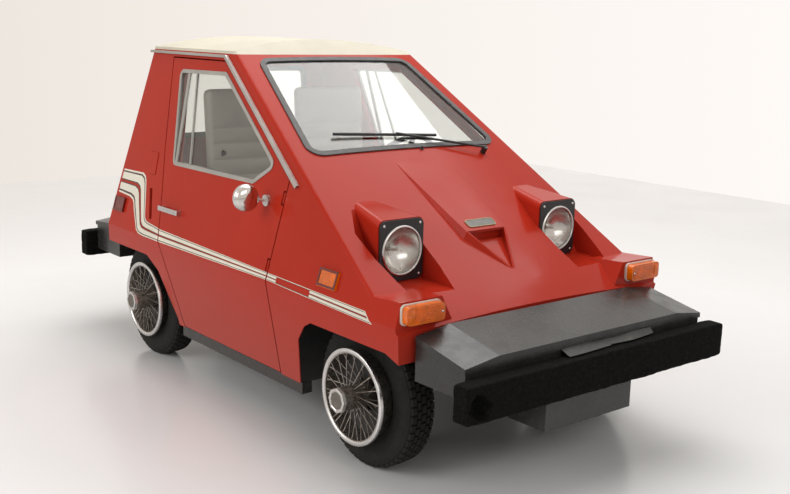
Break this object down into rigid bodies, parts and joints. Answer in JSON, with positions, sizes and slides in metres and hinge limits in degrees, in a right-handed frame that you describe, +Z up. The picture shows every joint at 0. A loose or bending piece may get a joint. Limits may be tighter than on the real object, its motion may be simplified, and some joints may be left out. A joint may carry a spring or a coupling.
{
  "type": "electric microcar",
  "caption": "Wedge-shaped two-seat electric microcar with opening doors and battery lids, steered front wheels, padded bumpers and wire wheel covers.",
  "frame": {"origin": "on the ground under the middle of the overall length and width", "axes": "+Z up, the nose towards -Y, the car's left side towards +X"},
  "size_m": [1.4544, 2.876, 1.447],
  "materials": {
    "red_body": "glossy moulded-in red plastic, lightly weathered",
    "cream_roof": "grained cream vinyl",
    "black_boxes": "satin black",
    "bumper_foam": "worn fibrous black foam rubber",
    "tyre_rubber": "matt block-tread rubber",
    "bright_chrome": "polished chrome",
    "bare_aluminium": "brushed anodised",
    "window_glass": "clear",
    "seal_rubber": "dark grey extruded seal",
    "lamp_glass": "fluted lens",
    "amber_lens": "translucent amber",
    "red_lens": "translucent red",
    "white_plastic": "white lamp base",
    "black_plastic": "fine-grained black",
    "chassis_black": "chassis black",
    "seat_vinyl": "dark grey vinyl"
  },
  "bodies": {
    "car_body": {"amber_lamps": "amber_lens", "batteries": "chassis_black", "charger_box": "black_boxes", "chassis_rails": "chassis_black", "dashboard": "black_plastic", "door_hinges": "chassis_black", "drip_rails": "bare_aluminium", "floor_pan": "chassis_black", "front_axle": "chassis_black", "front_battery_box": "black_boxes", "front_bumper": "bumper_foam", "front_skirts": "red_body", "front_tub": "chassis_black", "headlamp_bezels": "black_plastic", "headlamps": "lamp_glass", "leaf_springs": "chassis_black", "nose_panel": "red_body", "nose_side_left": "red_body", "nose_side_right": "red_body", "quarter_panel_left": "red_body", "quarter_panel_right": "red_body", "rear_axle_and_motor": "chassis_black", "rear_battery_box": "black_boxes", "rear_bumper": "bumper_foam", "rear_panel": "red_body", "rear_tub": "chassis_black", "rear_window_glass": "window_glass", "roof_panel": "cream_roof", "seat_bases": "chassis_black", "seat_left": "seat_vinyl", "seat_right": "seat_vinyl", "sills": "black_boxes", "steering_column": "black_plastic", "tail_lamps": "red_lens", "turn_lamp_bases": "white_plastic", "window_gaskets": "seal_rubber", "windscreen_glass": "window_glass", "wiper": "black_plastic"},
    "door_left": {"door_panel_left": "red_body", "door_window_frame_left": "bare_aluminium", "door_glass_left": "window_glass", "door_fittings_left": "bright_chrome"},
    "door_right": {"door_panel_right": "red_body", "door_window_frame_right": "bare_aluminium", "door_glass_right": "window_glass", "door_fittings_right": "bright_chrome"},
    "front_lid": {"front_battery_lid": "black_boxes"},
    "rear_lid": {"rear_battery_lid": "black_boxes"},
    "steering_wheel": {"steering_wheel": "black_plastic"},
    "knuckle_left": {"knuckle_left": "chassis_black"},
    "knuckle_right": {"knuckle_right": "chassis_black"},
    "wheel_front_left": {"wheel_front_left": "bright_chrome", "tyre_front_left": "tyre_rubber"},
    "wheel_front_right": {"wheel_front_right": "bright_chrome", "tyre_front_right": "tyre_rubber"},
    "wheel_rear_left": {"wheel_rear_left": "bright_chrome", "tyre_rear_left": "tyre_rubber"},
    "wheel_rear_right": {"wheel_rear_right": "bright_chrome", "tyre_rear_right": "tyre_rubber"}
  },
  "joints": [
    {"name": "door_left_hinge", "type": "hinge", "parent": "car_body", "child": "door_left", "pos_m": [0.65041, -0.31005, 0.56455], "axis": [0.2296, 0.0684, -0.9709], "range_deg": [0, 65]},
    {"name": "door_right_hinge", "type": "hinge", "parent": "car_body", "child": "door_right", "pos_m": [-0.65041, -0.31005, 0.56455], "axis": [0.2296, -0.0684, 0.9709], "range_deg": [0, 65]},
    {"name": "front_lid_hinge", "type": "hinge", "parent": "car_body", "child": "front_lid", "pos_m": [0, -1.12, 0.552], "axis": [-1, 0, 0], "range_deg": [0, 60]},
    {"name": "rear_lid_hinge", "type": "hinge", "parent": "car_body", "child": "rear_lid", "pos_m": [0, 1.104, 0.558], "axis": [1, 0, 0], "range_deg": [0, 60]},
    {"name": "steering_wheel_turn", "type": "hinge", "parent": "car_body", "child": "steering_wheel", "pos_m": [0.215, -0.028, 0.885], "axis": [0, 0.866, 0.5], "range_deg": [-308, 308]},
    {"name": "knuckle_left_steer", "type": "hinge", "parent": "car_body", "child": "knuckle_left", "pos_m": [0.468, -0.848, 0.262], "axis": [0, 0, 1], "range_deg": [-22, 22]},
    {"name": "knuckle_right_steer", "type": "hinge", "parent": "car_body", "child": "knuckle_right", "pos_m": [-0.468, -0.848, 0.262], "axis": [0, 0, 1], "range_deg": [-22, 22]},
    {"name": "wheel_front_left_roll", "type": "hinge", "parent": "knuckle_left", "child": "wheel_front_left", "pos_m": [0.531, -0.848, 0.262], "axis": [1, 0, 0], "continuous": true},
    {"name": "wheel_front_right_roll", "type": "hinge", "parent": "knuckle_right", "child": "wheel_front_right", "pos_m": [-0.531, -0.848, 0.262], "axis": [1, 0, 0], "continuous": true},
    {"name": "wheel_rear_left_roll", "type": "hinge", "parent": "car_body", "child": "wheel_rear_left", "pos_m": [0.545, 0.752, 0.262], "axis": [1, 0, 0], "continuous": true},
    {"name": "wheel_rear_right_roll", "type": "hinge", "parent": "car_body", "child": "wheel_rear_right", "pos_m": [-0.545, 0.752, 0.262], "axis": [1, 0, 0], "continuous": true}
  ],
  "couplings": [
    {"joint": "knuckle_left_steer", "follows": "steering_wheel_turn", "ratio": 0.071429},
    {"joint": "knuckle_right_steer", "follows": "steering_wheel_turn", "ratio": 0.071429}
  ]
}
